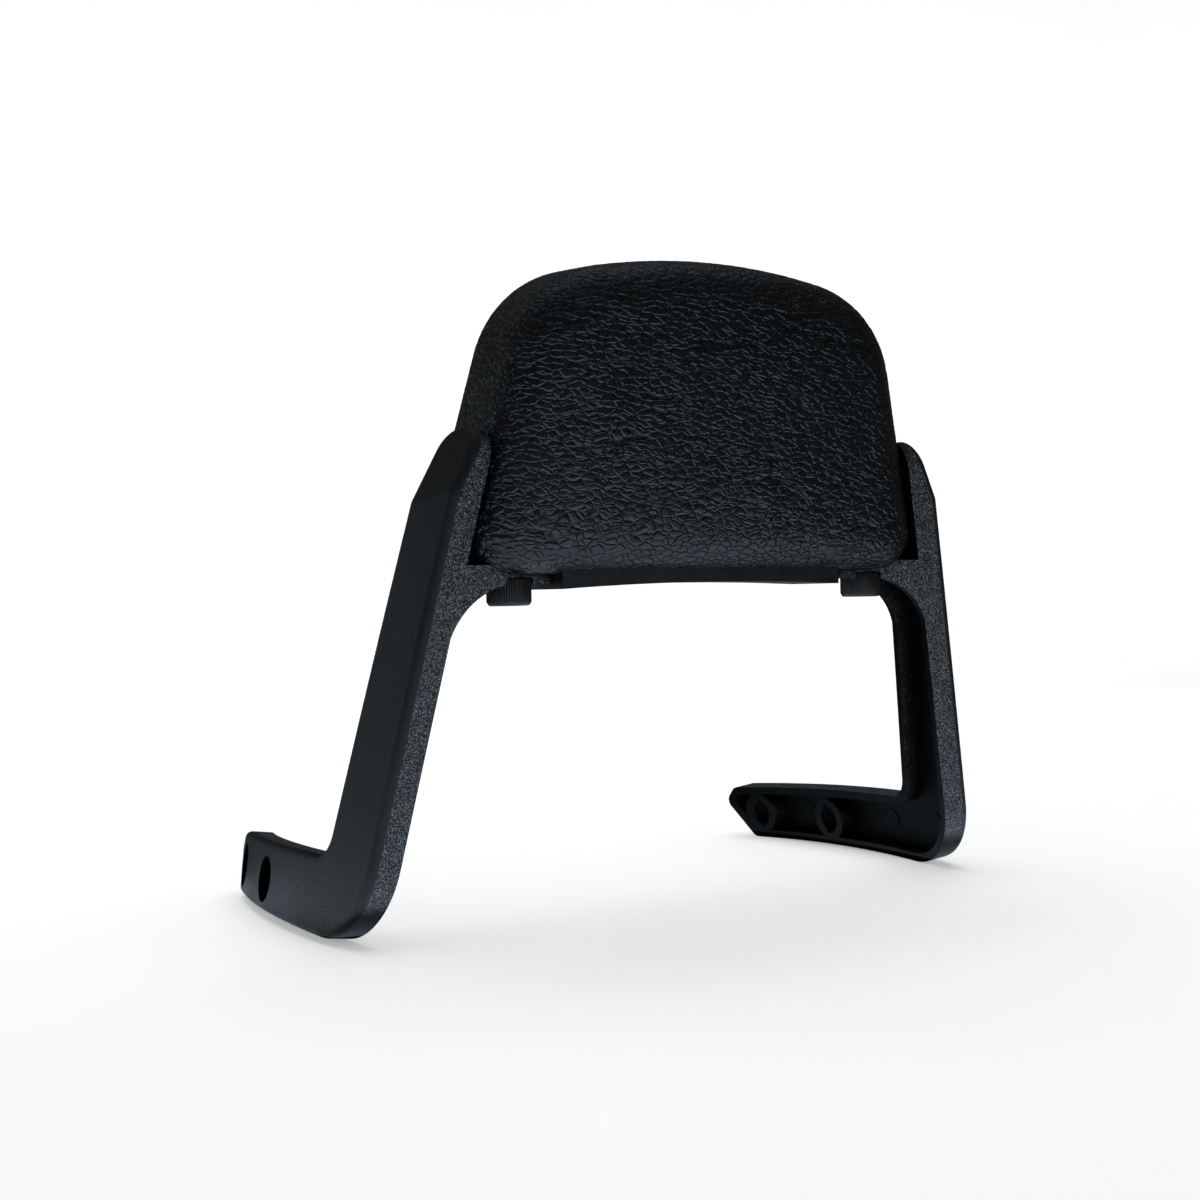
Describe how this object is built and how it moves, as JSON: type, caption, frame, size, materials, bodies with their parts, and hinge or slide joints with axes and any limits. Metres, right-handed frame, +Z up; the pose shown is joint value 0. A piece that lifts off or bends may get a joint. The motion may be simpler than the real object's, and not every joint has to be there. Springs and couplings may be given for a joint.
{
  "type": "backrest cushion on two mounting arms",
  "caption": "Small padded backrest cushion held between two splayed moulded arms whose feet run back and are drilled for bolting to a frame.",
  "frame": {"origin": "centre of the bounding box at the level of the arms' heels, the lowest points", "axes": "+X to the right as seen from behind the cushion's padded face looking rearward, +Y to the rear, the way the feet point, +Z up; the cushion's padded face looks towards -Y"},
  "size_m": [0.2324, 0.1663, 0.1976],
  "materials": {
    "arm_nylon": "fine-textured black glass-filled nylon",
    "carrier_nylon": "matt black moulded plastic",
    "cushion_skin": "leather-grained black polyurethane skin over foam, satin",
    "screw_steel": "black oxide steel",
    "nut_steel": "zinc-plated steel"
  },
  "bodies": {
    "root": {"right_arm": "arm_nylon", "left_arm": "arm_nylon", "cushion_carrier": "carrier_nylon", "cushion_pad": "cushion_skin", "right_cap_screw": "screw_steel", "left_cap_screw": "screw_steel", "right_captive_nut": "nut_steel", "left_captive_nut": "nut_steel"}
  },
  "joints": []
}
